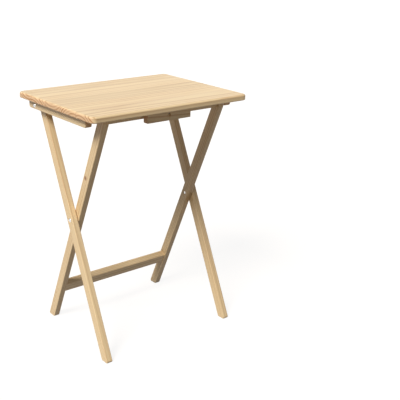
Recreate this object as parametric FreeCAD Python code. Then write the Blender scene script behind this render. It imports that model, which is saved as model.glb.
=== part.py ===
"""Folding tray table of solid pine: a glued top on two battens, carried by two crossed pairs of legs.

The outer legs hang from the battens on two bolts near the back edge. The inner legs cross them on two middle bolts
and are joined by a top dowel and a low rail. A catch block under the top holds the dowel while the table is open.
Millimetres. The origin is on the floor under the middle of the top: +X along the long side, -Y to the front, +Z up.
"""

import FreeCAD, Part
import math
import os

V = FreeCAD.Vector
SIDES = {"left": -1, "right": 1}

# Top
TOP_LENGTH = 483.0
TOP_DEPTH = 370.0
TOP_HEIGHT = 660.0
TOP_THICKNESS = 16.0
TOP_CORNER_R = 14.0
TOP_UPPER_ROUND = 5.0
TOP_LOWER_ROUND = 3.0
PLANK_COUNT = 5

# Battens under the top, one at each end, outside the legs
BATTEN_WIDTH = 18.0
BATTEN_HEIGHT = 22.0
BATTEN_LENGTH = 282.0
BATTEN_CORNER_R = 6.0
BATTEN_EDGE_ROUND = 1.5
BATTEN_END_TO_PIVOT = 28.0
BATTEN_SCREW_FROM_FRONT = 40.0
BATTEN_SCREW_FROM_PIVOT = 38.0

# Legs and their pivots; the three pivots make a triangle with two equal sides
LEG_WIDTH = 26.0
LEG_THICKNESS = 17.0
LEG_EDGE_ROUND = 1.8
LEG_TOP_FLAT = 0.2
LEG_TO_TOP_GAP = 0.6
LEG_TOE_ROUND = 5.0
OUTER_FRAME_WIDTH = 416.0
PIVOT_BACK_Y = 122.0
PIVOT_SPREAD = 258.0
MIDDLE_PIVOT_HEIGHT = 346.0

# Cross pieces of the inner frame
DOWEL_R = 6.0
DOWEL_DEPTH = 12.0
RAIL_THICKNESS = 21.0
RAIL_WIDTH = 29.0
RAIL_UP_THE_LEG = 118.0
RAIL_EDGE_ROUND = 1.8
PEG_R = 4.0
PEG_LENGTH = 30.0
PEG_DEPTH_IN_LEG = 11.0
PEG_SPACING = 13.0

# Catch block: a wall in front of the dowel and a ledge over it
CATCH_LENGTH = 135.0
CATCH_HEIGHT = 28.0
CATCH_WALL = 17.0
CATCH_LEDGE_PAST_DOWEL = 18.0
CATCH_EDGE_ROUND = 1.5
CATCH_CLEARANCE = 0.6
CATCH_SCREW_SPACING = 92.0
CATCH_POCKET_TILT = 50.0

# Hardware
BOLT_R = 3.0
BOLT_HEAD_R = 5.5
BOLT_HEAD_HEIGHT = 3.0
BOLT_DRIVE_R = 1.7
BOLT_DRIVE_DEPTH = 1.2
HEAD_SINK = 0.8
HEAD_CLEARANCE = 0.7
RUNNING_CLEARANCE = 0.06
FACE_GAP = 0.3
WASHER_R = 7.5
TOP_WASHER_THICKNESS = 1.7
MIDDLE_WASHER_THICKNESS = 1.2
SLEEVE_R = 4.5
SLEEVE_FLANGE_R = 7.0
SLEEVE_FLANGE_THICKNESS = 1.5
NUT_R = 4.2
NUT_RECESS = 1.2
NUT_POCKET = 6.0
NUT_ROUND = 0.8
NUT_CLEARANCE = 0.4
THREAD_IN_NUT = 3.4
SCREW_R = 2.0
SCREW_HEAD_R = 3.8
SCREW_BITE = 10.0

# Worked out from the sizes above
UNDERSIDE = TOP_HEIGHT - TOP_THICKNESS
PIVOT_Z = UNDERSIDE - LEG_WIDTH / 2 - LEG_TO_TOP_GAP
DOWEL_Y = PIVOT_BACK_Y - PIVOT_SPREAD
MIDDLE_Y = PIVOT_BACK_Y - PIVOT_SPREAD / 2
LEAN = math.atan((PIVOT_SPREAD / 2) / (PIVOT_Z - MIDDLE_PIVOT_HEIGHT))
OUTER_X = OUTER_FRAME_WIDTH / 2
OUTER_IN_X = OUTER_X - LEG_THICKNESS
INNER_X = OUTER_IN_X - MIDDLE_WASHER_THICKNESS - FACE_GAP
INNER_IN_X = INNER_X - LEG_THICKNESS
BATTEN_IN_X = OUTER_X + TOP_WASHER_THICKNESS + FACE_GAP
BATTEN_OUT_X = BATTEN_IN_X + BATTEN_WIDTH
BATTEN_BACK_Y = PIVOT_BACK_Y + BATTEN_END_TO_PIVOT
BATTEN_FRONT_Y = BATTEN_BACK_Y - BATTEN_LENGTH
BATTEN_LOW_Z = UNDERSIDE - BATTEN_HEIGHT
CATCH_WALL_BACK_Y = DOWEL_Y - DOWEL_R - CATCH_CLEARANCE
CATCH_FRONT_Y = CATCH_WALL_BACK_Y - CATCH_WALL
CATCH_LOW_Z = UNDERSIDE - CATCH_HEIGHT


def save(name, shape):
    """Writes one node; a list of solids becomes one group."""
    if isinstance(shape, list):
        shape = Part.makeCompound(shape)
    for solid in shape.Solids:
        assert solid.isValid() and solid.Volume > 0, name
    shape.exportStep(os.path.join("parts", name + ".step"))
    print(name, len(shape.Solids), round(shape.Volume, 1))


def cut_all(shape, tools):
    """The shape with every tool cut out of it."""
    for tool in tools:
        shape = shape.cut(tool)
    return shape


def box(x0, x1, y0, y1, z0, z1):
    """A box between two corners, given in any order."""
    low = V(min(x0, x1), min(y0, y1), min(z0, z1))
    return Part.makeBox(abs(x1 - x0), abs(y1 - y0), abs(z1 - z0), low)


def rod(radius, x0, x1, y, z):
    """A round bar along X."""
    return Part.makeCylinder(radius, abs(x1 - x0), V(min(x0, x1), y, z), V(1, 0, 0))


def rounded_outline(corners, radii):
    """A closed wire through the corners, each rounded by its own radius."""
    starts, ends, middles = [], [], []
    count = len(corners)
    for i, (corner, radius) in enumerate(zip(corners, radii)):
        to_last = (corners[i - 1] - corner).normalize()
        to_next = (corners[(i + 1) % count] - corner).normalize()
        half = to_last.getAngle(to_next) / 2
        reach = radius / math.tan(half)
        centre = corner + (to_last + to_next).normalize() * (radius / math.sin(half))
        starts.append(corner + to_last * reach)
        ends.append(corner + to_next * reach)
        middles.append(centre + (corner - centre).normalize() * radius)
    edges = []
    for i in range(count):
        edges.append(Part.Arc(starts[i], middles[i], ends[i]).toShape())
        edges.append(Part.LineSegment(ends[i], starts[(i + 1) % count]).toShape())
    return Part.Wire(edges)


def flat_at(edge, axis, value):
    """True if the edge lies wholly at one value of X or Z."""
    bounds = edge.BoundBox
    low, high = (bounds.XMin, bounds.XMax) if axis == "x" else (bounds.ZMin, bounds.ZMax)
    return abs(low - value) < 1e-4 and abs(high - value) < 1e-4


def top_planks():
    """The top is one slab with rounded corners and edges, glued up from planks of equal width."""
    half_x, half_y = TOP_LENGTH / 2, TOP_DEPTH / 2
    signs = ((-1, -1), (1, -1), (1, 1), (-1, 1))
    corners = [V(a * half_x, b * half_y, UNDERSIDE) for a, b in signs]
    outline = rounded_outline(corners, [TOP_CORNER_R] * 4)
    slab = Part.Face(outline).extrude(V(0, 0, TOP_THICKNESS))
    for height, radius in ((TOP_HEIGHT, TOP_UPPER_ROUND), (UNDERSIDE, TOP_LOWER_ROUND)):
        slab = slab.makeFillet(radius, [e for e in slab.Edges if flat_at(e, "z", height)])
    width = TOP_DEPTH / PLANK_COUNT
    planks = []
    for i in range(PLANK_COUNT):
        front = -half_y + i * width
        planks.append(slab.common(box(-half_x, half_x, front, front + width, UNDERSIDE, TOP_HEIGHT)).Solids[0])
    return planks


def batten(side):
    """A batten with rounded lower ends, its pivot hole and the seat of the bolt's head."""
    outer, inner = side * BATTEN_OUT_X, side * BATTEN_IN_X
    bar = box(inner, outer, BATTEN_FRONT_Y, BATTEN_BACK_Y, BATTEN_LOW_Z, UNDERSIDE)
    lower_ends = [e for e in bar.Edges if flat_at(e, "z", BATTEN_LOW_Z) and e.BoundBox.XLength > 1]
    bar = bar.makeFillet(BATTEN_CORNER_R, lower_ends)
    sides = [e for e in bar.Edges if flat_at(e, "x", inner) or flat_at(e, "x", outer)]
    bar = bar.makeFillet(BATTEN_EDGE_ROUND, [e for e in sides if not flat_at(e, "z", UNDERSIDE)])
    hole = rod(BOLT_R + RUNNING_CLEARANCE, inner, outer, PIVOT_BACK_Y, PIVOT_Z)
    seat = rod(BOLT_HEAD_R + HEAD_CLEARANCE, outer - side * HEAD_SINK, outer, PIVOT_BACK_Y, PIVOT_Z)
    return cut_all(bar, [hole, seat])


def wood_screw(start, direction, length):
    """A countersunk screw from the middle of its head along its direction."""
    head = Part.makeCone(SCREW_HEAD_R, SCREW_R, SCREW_HEAD_R - SCREW_R, start, direction)
    return head.fuse(Part.makeCylinder(SCREW_R, length, start, direction)).removeSplitter()


def batten_screws(side):
    """Three screws up through a batten into the top, clear of the pivot bolt."""
    first = BATTEN_FRONT_Y + BATTEN_SCREW_FROM_FRONT
    last = PIVOT_BACK_Y - BATTEN_SCREW_FROM_PIVOT
    middle_x = side * (BATTEN_IN_X + BATTEN_OUT_X) / 2
    length = BATTEN_HEIGHT + SCREW_BITE
    return [wood_screw(V(middle_x, y, BATTEN_LOW_Z), V(0, 0, 1), length) for y in (first, (first + last) / 2, last)]


def catch_block():
    """The catch in profile is an upside-down L, the dowel lying behind its wall and under its ledge."""
    ledge_z = PIVOT_Z + DOWEL_R + CATCH_CLEARANCE
    ledge_back = DOWEL_Y + CATCH_LEDGE_PAST_DOWEL
    half = CATCH_LENGTH / 2
    wall = box(-half, half, CATCH_FRONT_Y, CATCH_WALL_BACK_Y, CATCH_LOW_Z, UNDERSIDE)
    ledge = box(-half, half, CATCH_FRONT_Y, ledge_back, ledge_z, UNDERSIDE)
    lower = [e for e in wall.Edges if flat_at(e, "z", CATCH_LOW_Z)]
    return wall.makeFillet(CATCH_EDGE_ROUND, lower).fuse(ledge).removeSplitter()


def catch_screws():
    """A sunk screw in the middle of the front face, sloping up into the top, and one up each end of the wall."""
    tilt = math.radians(CATCH_POCKET_TILT)
    direction = V(0, math.cos(tilt), math.sin(tilt))
    head = V(0, CATCH_FRONT_Y, UNDERSIDE - CATCH_HEIGHT / 2) + direction * SCREW_HEAD_R
    reach = (UNDERSIDE - head.z + SCREW_BITE) / math.sin(tilt)
    pocket_length = 3 * SCREW_HEAD_R
    pocket = Part.makeCylinder(SCREW_HEAD_R, pocket_length, head - direction * pocket_length, direction)
    screws = [wood_screw(head, direction, reach)]
    wall_middle = (CATCH_FRONT_Y + CATCH_WALL_BACK_Y) / 2
    for side in SIDES.values():
        start = V(side * CATCH_SCREW_SPACING / 2, wall_middle, CATCH_LOW_Z)
        screws.append(wood_screw(start, V(0, 0, 1), CATCH_HEIGHT + SCREW_BITE))
    return screws, pocket


def leg_bar(x0, x1, lean_sign):
    """A leg, rounded at its top and cut level at the floor.

    lean_sign 1 is an outer leg, whose top leans back; -1 is an inner leg, whose top leans forward.
    """
    along = V(0, lean_sign * math.sin(LEAN), math.cos(LEAN))
    across = V(0, math.cos(LEAN), -lean_sign * math.sin(LEAN)) * (LEG_WIDTH / 2)
    pivot = V(x0, MIDDLE_Y + lean_sign * PIVOT_SPREAD / 2, PIVOT_Z)
    head = pivot + along * (LEG_WIDTH / 2)
    corners = [head - across, head + across]
    for start in (head + across, head - across):
        corners.append(start - along * (start.z / along.z))
    top_r = (LEG_WIDTH - LEG_TOP_FLAT) / 2
    outline = rounded_outline(corners, [top_r, top_r, LEG_TOE_ROUND, LEG_TOE_ROUND])
    bar = Part.Face(outline).extrude(V(x1 - x0, 0, 0))
    return bar.makeFillet(LEG_EDGE_ROUND, [e for e in bar.Edges if flat_at(e, "x", x0) or flat_at(e, "x", x1)])


def dome_bolt(side, seat_x, end_x, y, z):
    """A bolt along X with a low domed head, which faces outwards, and a round drive recess."""
    ball_r = (BOLT_HEAD_R**2 + BOLT_HEAD_HEIGHT**2) / (2 * BOLT_HEAD_HEIGHT)
    top_x = seat_x + side * BOLT_HEAD_HEIGHT
    ball = Part.makeSphere(ball_r, V(top_x - side * ball_r, y, z))
    head = rod(BOLT_HEAD_R, seat_x, top_x, y, z).common(ball)
    drive = rod(BOLT_DRIVE_R, top_x, top_x - side * BOLT_DRIVE_DEPTH, y, z)
    return head.cut(drive).fuse(rod(BOLT_R, seat_x, end_x, y, z)).removeSplitter()


def rail_middle():
    """The middle of the low rail, with the directions up the leg and square to it."""
    foot_y = MIDDLE_Y + math.tan(LEAN) * MIDDLE_PIVOT_HEIGHT
    along = V(0, -math.sin(LEAN), math.cos(LEAN))
    return V(0, foot_y, 0) + along * RAIL_UP_THE_LEG, along, V(0, math.cos(LEAN), math.sin(LEAN))


def low_rail():
    """The rail between the inner legs, set square to them."""
    middle, along, across = rail_middle()
    u, v = along * (RAIL_WIDTH / 2), across * (RAIL_THICKNESS / 2)
    start = middle + V(-INNER_IN_X, 0, 0)
    section = rounded_outline([start + u + v, start + u - v, start - u - v, start - u + v], [RAIL_EDGE_ROUND] * 4)
    return Part.Face(section).extrude(V(2 * INNER_IN_X, 0, 0))


def rail_pegs():
    """Two wooden pegs in each end of the low rail."""
    middle, along, _ = rail_middle()
    pegs = []
    for side in SIDES.values():
        for offset in (-PEG_SPACING / 2, PEG_SPACING / 2):
            place = middle + along * offset
            deep = side * (INNER_IN_X + PEG_DEPTH_IN_LEG)
            pegs.append(rod(PEG_R, deep, deep - side * PEG_LENGTH, place.y, place.z))
    return pegs


os.makedirs("parts", exist_ok=True)

# The top, its catch and their fasteners
screws_of = {name: batten_screws(side) for name, side in SIDES.items()}
catch_fasteners, catch_pocket = catch_screws()
for number, plank in enumerate(top_planks(), start=1):
    save(f"top_plank_{number}", cut_all(plank, screws_of["left"] + screws_of["right"] + catch_fasteners))
save("catch_block", cut_all(catch_block(), [*catch_fasteners, catch_pocket]))
save("catch_screws", catch_fasteners)

# The cross pieces of the inner frame
pegs = rail_pegs()
dowel = rod(DOWEL_R, -INNER_IN_X - DOWEL_DEPTH, INNER_IN_X + DOWEL_DEPTH, DOWEL_Y, PIVOT_Z)
save("rail_pegs", pegs)
save("low_rail", cut_all(low_rail(), pegs))
save("top_dowel", dowel)

for name, side in SIDES.items():
    save(f"{name}_batten", cut_all(batten(side), screws_of[name]))
    save(f"{name}_batten_screws", screws_of[name])

    # The top pivot, carried by the outer leg: bolt, washer, and a sleeve nut sunk flush in the leg's inner face
    top_bolt_seat = side * (BATTEN_OUT_X - HEAD_SINK + FACE_GAP)
    flange_end = side * (OUTER_IN_X + SLEEVE_FLANGE_THICKNESS)
    top_bolt = dome_bolt(side, top_bolt_seat, flange_end, PIVOT_BACK_Y, PIVOT_Z)
    washer_end = side * (OUTER_X + TOP_WASHER_THICKNESS)
    washer = rod(WASHER_R, side * OUTER_X, washer_end, PIVOT_BACK_Y, PIVOT_Z)
    barrel = rod(SLEEVE_R, side * OUTER_IN_X, side * OUTER_X, PIVOT_BACK_Y, PIVOT_Z)
    flange = rod(SLEEVE_FLANGE_R, side * OUTER_IN_X, flange_end, PIVOT_BACK_Y, PIVOT_Z)
    sleeve = barrel.fuse(flange).removeSplitter()
    save(f"{name}_top_bolt", top_bolt)
    save(f"{name}_top_washer", washer.cut(top_bolt))
    save(f"{name}_top_sleeve_nut", sleeve.cut(top_bolt))

    # The middle pivot: bolt and washer on the outer leg, and a nut sunk in the inner leg
    head_seat = side * (OUTER_X - HEAD_SINK)
    nut_start = side * (INNER_IN_X + NUT_POCKET - FACE_GAP)
    nut_end = side * (INNER_IN_X + NUT_RECESS)
    bolt_end = nut_start - side * THREAD_IN_NUT
    middle_bolt = dome_bolt(side, head_seat, bolt_end, MIDDLE_Y, MIDDLE_PIVOT_HEIGHT)
    spacer_end = side * (OUTER_IN_X - MIDDLE_WASHER_THICKNESS)
    spacer = rod(WASHER_R, side * OUTER_IN_X, spacer_end, MIDDLE_Y, MIDDLE_PIVOT_HEIGHT)
    nut = rod(NUT_R, nut_start, nut_end, MIDDLE_Y, MIDDLE_PIVOT_HEIGHT)
    nut = nut.makeFillet(NUT_ROUND, [e for e in nut.Edges if flat_at(e, "x", nut_end)])
    save(f"{name}_middle_bolt", middle_bolt)
    save(f"{name}_middle_washer", spacer.cut(middle_bolt))
    save(f"{name}_middle_nut", nut.cut(middle_bolt))

    # The legs: the outer one holds both bolts, and the inner one turns on the middle bolt
    head_room = rod(BOLT_HEAD_R + HEAD_CLEARANCE, head_seat, side * OUTER_X, MIDDLE_Y, MIDDLE_PIVOT_HEIGHT)
    outer_leg = leg_bar(side * OUTER_IN_X, side * OUTER_X, 1)
    save(f"{name}_outer_leg", cut_all(outer_leg, [sleeve, head_room, middle_bolt]))
    bolt_r = BOLT_R + RUNNING_CLEARANCE
    bolt_hole = rod(bolt_r, side * INNER_IN_X, side * INNER_X, MIDDLE_Y, MIDDLE_PIVOT_HEIGHT)
    pocket_end = side * (INNER_IN_X + NUT_POCKET)
    nut_pocket = rod(NUT_R + NUT_CLEARANCE, side * INNER_IN_X, pocket_end, MIDDLE_Y, MIDDLE_PIVOT_HEIGHT)
    inner_leg = leg_bar(side * INNER_IN_X, side * INNER_X, -1)
    save(f"{name}_inner_leg", cut_all(inner_leg, [dowel, bolt_hole, nut_pocket, *pegs]))

print("lean", round(math.degrees(LEAN), 4), "fold", round(2 * math.degrees(LEAN), 4))
print("top pivot", PIVOT_BACK_Y, PIVOT_Z, "middle pivot", MIDDLE_Y, MIDDLE_PIVOT_HEIGHT, "dowel", DOWEL_Y)
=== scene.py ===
"""Folding tray table of clear-lacquered pine: the finishes, the light, the floor and the camera.

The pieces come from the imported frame, in metres: +X along the top's long side, -Y to the front
and +Z up from the floor.
"""

import math

import bpy
from mathutils import Matrix, Vector


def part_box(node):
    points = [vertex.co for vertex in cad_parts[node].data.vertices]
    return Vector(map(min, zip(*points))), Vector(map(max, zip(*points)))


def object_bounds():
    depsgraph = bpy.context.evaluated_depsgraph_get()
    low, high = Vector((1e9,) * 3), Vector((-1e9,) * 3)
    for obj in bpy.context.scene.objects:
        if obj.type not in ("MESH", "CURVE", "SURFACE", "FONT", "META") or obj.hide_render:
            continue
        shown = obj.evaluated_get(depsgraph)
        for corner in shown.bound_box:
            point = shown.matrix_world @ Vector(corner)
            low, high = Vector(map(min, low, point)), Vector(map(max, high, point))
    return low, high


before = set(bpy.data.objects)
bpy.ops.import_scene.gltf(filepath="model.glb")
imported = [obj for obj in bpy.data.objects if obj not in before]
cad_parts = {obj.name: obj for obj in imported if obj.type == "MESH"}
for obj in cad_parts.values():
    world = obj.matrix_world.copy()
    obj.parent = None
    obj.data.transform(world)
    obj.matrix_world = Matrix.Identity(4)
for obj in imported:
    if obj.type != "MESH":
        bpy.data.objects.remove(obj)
cad_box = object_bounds()
scene = bpy.context.scene


# The top: five pine planks glued edge to edge, run flat, rounded at the rim and lacquered.
# Each plank is cut from its own place in a tree. Its figure comes from rings about a pith outside the
# plank, which show as long streaks on the faces and as arcs on the end grain.
class Wire:
    """One output of a material's nodes; arithmetic on it adds Math nodes."""

    def __init__(self, bench, socket):
        self.bench = bench
        self.socket = socket

    def math(self, operation, *values):
        return self.bench.node("ShaderNodeMath", {"operation": operation}, dict(enumerate(values)))

    def __add__(self, other):
        return self.math("ADD", self, other)

    def __radd__(self, other):
        return self.math("ADD", other, self)

    def __sub__(self, other):
        return self.math("SUBTRACT", self, other)

    def __rsub__(self, other):
        return self.math("SUBTRACT", other, self)

    def __mul__(self, other):
        return self.math("MULTIPLY", self, other)

    def __rmul__(self, other):
        return self.math("MULTIPLY", other, self)

    def __truediv__(self, other):
        return self.math("DIVIDE", self, other)

    def __abs__(self):
        return self.math("ABSOLUTE", self)

    def fraction(self):
        return self.math("FRACT", self)

    def root(self):
        return self.math("SQRT", self)

    def ramp(self, low, high):
        """0 below low, 1 above high, and smooth between; it falls where low is above high."""
        settings = {"interpolation_type": "SMOOTHSTEP"}
        if low < high:
            return self.bench.node("ShaderNodeMapRange", settings, {0: self, 1: low, 2: high})
        return 1 - self.bench.node("ShaderNodeMapRange", settings, {0: self, 1: high, 2: low})


class Bench:
    """Builds the nodes of one material, or of the world, one by one."""

    def __init__(self, owner, shader="Principled BSDF"):
        owner.use_nodes = True
        self.owner = owner
        self.tree = owner.node_tree
        self.shader = self.tree.nodes[shader]

    def node(self, kind, settings=None, inputs=None, output=0):
        node = self.tree.nodes.new(kind)
        for name, value in (settings or {}).items():
            setattr(node, name, value)
        for name, value in (inputs or {}).items():
            self.feed(node.inputs[name], value)
        return Wire(self, node.outputs[output])

    def feed(self, socket, value):
        if isinstance(value, Wire):
            self.tree.links.new(value.socket, socket)
        else:
            socket.default_value = value

    def finish(self, **sockets):
        """Sets or links the shader's sockets; an underscore in a name stands for a space."""
        for name, value in sockets.items():
            self.feed(self.shader.inputs[name.replace("_", " ")], value)
        return self.owner

    def place(self):
        return self.node("ShaderNodeTexCoord", output="Object")

    def along(self, vector, direction):
        settings = {"operation": "DOT_PRODUCT"}
        return self.node("ShaderNodeVectorMath", settings, {0: vector, 1: tuple(direction)}, "Value")

    def shifted(self, vector, offset):
        return self.node("ShaderNodeVectorMath", {"operation": "SUBTRACT"}, {0: vector, 1: tuple(offset)})

    def vector(self, x, y, z):
        return self.node("ShaderNodeCombineXYZ", None, {0: x, 1: y, 2: z})

    def noise(self, vector, scale=1.0, detail=2.0):
        return self.node("ShaderNodeTexNoise", None, {"Vector": vector, "Scale": scale, "Detail": detail})

    def mix(self, amount, first, second, blend="MIX"):
        settings = {"data_type": "RGBA", "blend_type": blend}
        return self.node("ShaderNodeMix", settings, {0: amount, 6: first, 7: second}, 2)

    def bump(self, height, strength, distance):
        inputs = {"Height": height, "Strength": strength, "Distance": distance}
        return self.node("ShaderNodeBump", None, inputs)


PALE_PINE = (0.88, 0.66, 0.37)
LATE_PINE = (0.46, 0.20, 0.055)
CLOUDED_PINE = (0.86, 0.66, 0.42)
END_PINE = (0.92, 0.80, 0.80)
KNOT_BROWN = (0.30, 0.105, 0.04)


def colour(rgb, tone=1.0):
    return (rgb[0] * tone, rgb[1] * tone, rgb[2] * tone, 1.0)


def pine(name, grain, pith, ring_gap, tone, band, seed, wander=0.011, knots=(), joints=()):
    """Lacquered pine. grain is the direction of the fibres and pith a point on the middle of the tree.

    ring_gap is the width of a year's ring, and wander how far the rings stray. tone scales the colours,
    and band is the depth of the late wood's. knots are (place, radius), and joints are the Y of glued edges.
    """
    bench = Bench(bpy.data.materials.new(name))
    place = bench.place()
    grain = Vector(grain).normalized()
    side = grain.cross(Vector((0, 0, 1)) if abs(grain.z) < 0.8 else Vector((1, 0, 0))).normalized()
    other = grain.cross(side)
    from_pith = bench.shifted(place, pith)
    length = bench.along(from_pith, grain)
    u = bench.along(from_pith, side)
    v = bench.along(from_pith, other)

    slow = bench.vector(length * 2.6 + seed, u * 9, v * 9)
    broad = bench.vector(length * 1.1 - seed, u * 3, v * 3)
    radius = (u * u + v * v).root()
    radius = radius + (bench.noise(slow, 1.0, 3.0) - 0.5) * wander + (bench.noise(broad) - 0.5) * (2 * wander)
    rings = radius / ring_gap + seed
    year = rings.fraction()
    late = year.ramp(0.30, 0.90) * year.ramp(1.0, 0.93)
    strength = bench.noise(bench.vector(rings * 0.9, length * 0.9, seed), 1.3, 1.0).ramp(0.28, 0.72)
    late = late * (0.35 + 0.65 * strength)

    fibre = bench.noise(bench.vector(length * 16 + seed, u * 900, v * 900), 1.0, 3.0)
    streak = bench.noise(bench.vector(length * 3 - seed, u * 130, v * 130), 1.0, 2.0).ramp(0.52, 0.78)
    cloud = bench.noise(bench.vector(length * 4, u * 22 + seed, v * 22), 1.0, 2.0)
    end = abs(bench.along(bench.node("ShaderNodeTexCoord", output="Normal"), grain)).ramp(0.55, 0.95)

    wood = bench.mix(late * (band + (1.0 - band) * end), colour(PALE_PINE, tone), colour(LATE_PINE, tone))
    wood = bench.mix(streak * 0.26, wood, colour(LATE_PINE, tone * 1.1))
    wood = bench.mix(cloud.ramp(0.35, 0.8) * 0.22, wood, colour(CLOUDED_PINE, tone))
    shade = 0.90 + 0.16 * fibre
    grey = bench.node("ShaderNodeCombineColor", None, {0: shade, 1: shade, 2: shade})
    wood = bench.mix(1.0, wood, grey, "MULTIPLY")
    wood = bench.mix(end * 0.9, wood, bench.mix(1.0, wood, colour(END_PINE), "MULTIPLY"))
    for spot, size in knots:
        offset = bench.shifted(place, spot)
        gap = bench.node("ShaderNodeVectorMath", {"operation": "LENGTH"}, {0: offset}, "Value")
        gap = gap + (bench.noise(place, 180.0) - 0.5) * (size * 0.5)
        wood = bench.mix(gap.ramp(size * 1.7, size * 0.6) * 0.7, wood, colour(KNOT_BROWN))
        wood = bench.mix(gap.ramp(size * 0.55, size * 0.2) * 0.6, wood, colour(KNOT_BROWN, 0.45))
    for y in joints:
        gap = abs(bench.along(place, (0, 1, 0)) - y)
        wood = bench.mix(gap.ramp(0.0007, 0.0002) * 0.45, wood, colour(KNOT_BROWN, 1.2))

    relief = late * 0.6 + fibre * 0.5 + end * fibre * 1.5
    roughness = 0.40 + 0.10 * late + 0.08 * fibre + 0.22 * end
    return bench.finish(
        Base_Color=wood,
        Roughness=roughness,
        Normal=bench.bump(relief, 0.22, 0.0006),
        Specular_IOR_Level=0.42,
        Coat_Weight=0.18,
        Coat_Roughness=0.28,
    )


def dress(node, material):
    """Gives a piece of the frame its finish."""
    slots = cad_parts[node].data.materials
    slots.clear()
    slots.append(material)


TOP_RING_GAP = 0.0078
TOP_GRAIN = (1, 0.012, 0)
PLANK_TREES = (
    {"out": 0.020, "down": -0.052, "tone": 1.00, "band": 0.62},
    {"out": -0.030, "down": -0.064, "tone": 1.03, "band": 0.48},
    {"out": 0.010, "down": 0.058, "tone": 0.98, "band": 0.58},
    {"out": 0.034, "down": -0.070, "tone": 1.04, "band": 0.46},
    {"out": -0.016, "down": 0.062, "tone": 1.00, "band": 0.56},
)
for number, tree in enumerate(PLANK_TREES, start=1):
    low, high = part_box(f"top_plank_{number}")
    pith = (0, (low[1] + high[1]) / 2 + tree["out"], (low[2] + high[2]) / 2 + tree["down"])
    inner_edges = [y for y in (low[1], high[1]) if abs(y) < cad_box[1][1] - 0.001]
    plank_pine = pine(
        f"plank_{number}_pine", TOP_GRAIN, pith, TOP_RING_GAP, seed=3.7 * number, joints=inner_edges,
        tone=tree["tone"], band=tree["band"],
    )
    dress(f"top_plank_{number}", plank_pine)


# The battens: two square-planed strips screwed up into the ends of the top, across its planks.
# Their grain runs front to back, and the back bolts turn in them.
for number, node in enumerate(("left_batten", "right_batten")):
    low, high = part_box(node)
    pith = ((low[0] + high[0]) / 2 + 0.02, 0, low[2] - 0.03)
    batten_pine = pine(
        f"{node}_pine", (0, 1, 0.01), pith, ring_gap=0.0043, tone=0.93, band=0.55, seed=21.0 + 5 * number
    )
    dress(node, batten_pine)


# The catch: a short block under the front edge that stops the dowel, with a sunk screw in the middle of its
# front.
# It is the darkest piece: its low tone and deep late-wood bands are painted shade, for the shadow of the top
# over it.
low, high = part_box("catch_block")
pith = (0, low[1] + 0.05, low[2] - 0.012)
dress("catch_block", pine("catch_pine", (1, 0.02, 0), pith, ring_gap=0.0046, tone=0.84, band=0.60, seed=33.0))


# The legs: four straight pine bars, rounded at the top and cut level at the floor.
# The grain follows each bar, and the ring lines run down it as long, nearly straight stripes.
LEG_WIDTH = 0.026


def leg_grain(node):
    """The direction of a leg, from its box: an outer leg's top leans back and an inner leg's forward."""
    low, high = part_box(node)
    rise = high[2] - low[2]
    run = high[1] - low[1] - LEG_WIDTH
    lean = math.asin(run / math.hypot(rise, run))
    return Vector((0, math.sin(lean) * (1 if "outer" in node else -1), math.cos(lean)))


# The inner legs' lower tones and deeper late-wood bands are painted shade: they darken these legs the way
# shadow darkens their down-turned front faces.
LEG_TREES = {
    "left_outer_leg": {"out": (0.018, 0.040), "tone": 1.00, "band": 0.50, "seed": 41.0},
    "right_outer_leg": {"out": (-0.030, 0.034), "tone": 0.93, "band": 0.58, "seed": 47.0},
    "left_inner_leg": {"out": (0.026, -0.038), "tone": 0.94, "band": 0.55, "seed": 53.0},
    "right_inner_leg": {"out": (0.012, -0.030), "tone": 0.88, "band": 0.66, "seed": 59.0},
}
KNOT_UP_THE_LEG = 0.165
KNOT_RADIUS = 0.005
for node, tree in LEG_TREES.items():
    low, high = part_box(node)
    grain = leg_grain(node)
    centre = (Vector(low) + Vector(high)) / 2
    pith = centre + Vector((tree["out"][0], tree["out"][1], 0))
    outer_face = Vector((low[0], centre[1], centre[2])) + grain * KNOT_UP_THE_LEG
    knots = [(outer_face, KNOT_RADIUS)] if node == "left_inner_leg" else []
    leg_pine = pine(
        f"{node}_pine", grain, pith, ring_gap=0.0041, wander=0.006, knots=knots,
        tone=tree["tone"], band=tree["band"], seed=tree["seed"],
    )
    dress(node, leg_pine)


# The rail low between the inner legs, planed square and pegged into them, with its two pairs of pegs.
low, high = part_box("low_rail")
pith = (0, low[1] - 0.02, low[2] - 0.02)
dress("low_rail", pine("rail_pine", (1, -0.01, 0.01), pith, ring_gap=0.0048, tone=0.95, band=0.55, seed=67.0))
pith = (0, low[1], low[2] - 0.05)
dress("rail_pegs", pine("peg_birch", (1, 0, 0), pith, ring_gap=0.0030, tone=0.90, band=0.25, seed=71.0))


# The dowel between the tops of the inner legs: a turned rod that lies in the catch when the table is open.
low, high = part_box("top_dowel")
pith = (0, low[1] + 0.03, low[2] - 0.02)
dowel_pine = pine(
    "dowel_pine", (1, 0, 0), pith, ring_gap=0.0030, tone=0.86, band=0.40, seed=79.0, wander=0.003
)
dress("top_dowel", dowel_pine)


# The bolts, washers and nuts: bright zinc on steel, with domed heads polished by their tumbling and washers
# faintly scratched. The heads show most, then the washers' rims and the ends of the sunk nuts.
def bright_steel(name, tint, roughness):
    bench = Bench(bpy.data.materials.new(name))
    place = bench.place()
    patches = bench.noise(place, 420.0, 3.0)
    stretched = (bench.along(place, way) for way in ((900, 0, 0), (0, 7000, 0), (0, 0, 900)))
    scratches = bench.noise(bench.vector(*stretched))
    steel = bench.mix(patches.ramp(0.35, 0.75), colour(tint), colour(tint, 0.78))
    return bench.finish(
        Base_Color=steel,
        Metallic=1.0,
        Roughness=roughness + 0.10 * patches + 0.08 * scratches,
        Normal=bench.bump(scratches, 0.06, 0.0002),
    )


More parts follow.
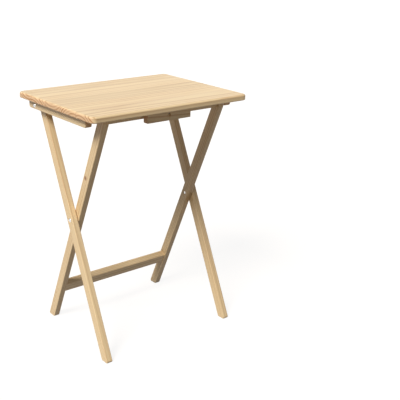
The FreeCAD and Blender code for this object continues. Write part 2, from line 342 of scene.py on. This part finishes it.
head_steel = bright_steel("bolt_zinc", (0.80, 0.80, 0.79), 0.14)
washer_steel = bright_steel("washer_zinc", (0.66, 0.66, 0.65), 0.26)
for side in ("left", "right"):
    for pivot in ("top", "middle"):
        dress(f"{side}_{pivot}_bolt", head_steel)
        dress(f"{side}_{pivot}_washer", washer_steel)
    dress(f"{side}_top_sleeve_nut", washer_steel)
    dress(f"{side}_middle_nut", head_steel)


# The wood screws: dull zinc, driven flush, up through the battens and the catch.
screw_steel = bright_steel("screw_zinc", (0.48, 0.47, 0.45), 0.34)
for node in ("left_batten_screws", "right_batten_screws", "catch_screws"):
    dress(node, screw_steel)


# The studio: a floor that keeps the table's soft shadow and runs out into a white surround. It looks white
# because it glows for the camera and for reflections alone. Its own colour is dim, so that little light
# comes back up onto the undersides.
FLOOR_REACH = 12.0
FLOOR_HEIGHT = -0.0005
floor_mesh = bpy.data.meshes.new("floor")
corner_signs = ((-1, -1), (1, -1), (1, 1), (-1, 1))
floor_corners = [(a * FLOOR_REACH, b * FLOOR_REACH, FLOOR_HEIGHT) for a, b in corner_signs]
floor_mesh.from_pydata(floor_corners, [], [(0, 1, 2, 3)])
floor = bpy.data.objects.new("floor", floor_mesh)
scene.collection.objects.link(floor)


def seen(bench):
    """1 for what the camera sees, straight, mirrored or through glass, and 0 for light on the table."""
    ways = ("Camera", "Glossy", "Transmission")
    straight, mirrored, clear = (bench.node("ShaderNodeLightPath", output=f"Is {way} Ray") for way in ways)
    return (straight + mirrored + clear).ramp(0.0, 1.0)


FLOOR_COLOUR = (0.16, 0.14, 0.12)
FLOOR_GLOW = (0.88, 0.88, 0.88)
bench = Bench(bpy.data.materials.new("floor_white"))
floor_white = bench.finish(
    Base_Color=colour(FLOOR_COLOUR),
    Roughness=0.9,
    Emission_Color=bench.mix(seen(bench), colour((0, 0, 0)), colour(FLOOR_GLOW)),
    Emission_Strength=1.0,
)
floor_mesh.materials.append(floor_white)

SKY_LIGHT = 0.15
scene.world = bpy.data.worlds.new("studio")
bench = Bench(scene.world, "Background")
bench.finish(Color=(1, 1, 1, 1), Strength=SKY_LIGHT + (1 - SKY_LIGHT) * seen(bench))


# The lamp: one large soft source, high on the left and a little in front.
KEY_TOWARDS = Vector((0.66, 0.24, -0.76))
KEY_STRENGTH = 3.5
KEY_SPREAD = math.radians(24)
lamp = bpy.data.lights.new("key", "SUN")
lamp.energy = KEY_STRENGTH
lamp.angle = KEY_SPREAD
key = bpy.data.objects.new("key", lamp)
key.rotation_euler = KEY_TOWARDS.to_track_quat("-Z", "Y").to_euler()
scene.collection.objects.link(key)


# The camera: a little over a metre up, in front of the table and to its left, looking down at it.
# The turn, tip and roll are in degrees, about the upright, the picture's width and its depth.
IMAGE_WIDTH = 400.0
SENSOR = 36.0
FOCAL_IMAGE = 765.0
PICTURE_SHIFT = -0.05
FAR_CLIP = 50.0
turn, tip, roll = (math.radians(a) for a in (-39.68, -18.07, 1.24))
camera = bpy.data.objects.new("camera", bpy.data.cameras.new("camera"))
camera.data.sensor_width = SENSOR
camera.data.lens = FOCAL_IMAGE * SENSOR / IMAGE_WIDTH
camera.data.shift_y = PICTURE_SHIFT
camera.data.clip_end = FAR_CLIP
forward = Vector((-math.sin(turn) * math.cos(tip), math.cos(turn) * math.cos(tip), math.sin(tip)))
across = Vector((math.cos(turn), math.sin(turn), 0))
upward = across.cross(forward)
across, upward = (
    across * math.cos(roll) + upward * math.sin(roll),
    upward * math.cos(roll) - across * math.sin(roll),
)
eye = Vector((-1.1377, -1.6563, 1.0728))
camera.matrix_world = Matrix.Translation(eye) @ Matrix((across, upward, -forward)).transposed().to_4x4()
scene.collection.objects.link(camera)
scene.camera = camera
scene.view_settings.view_transform = "Standard"
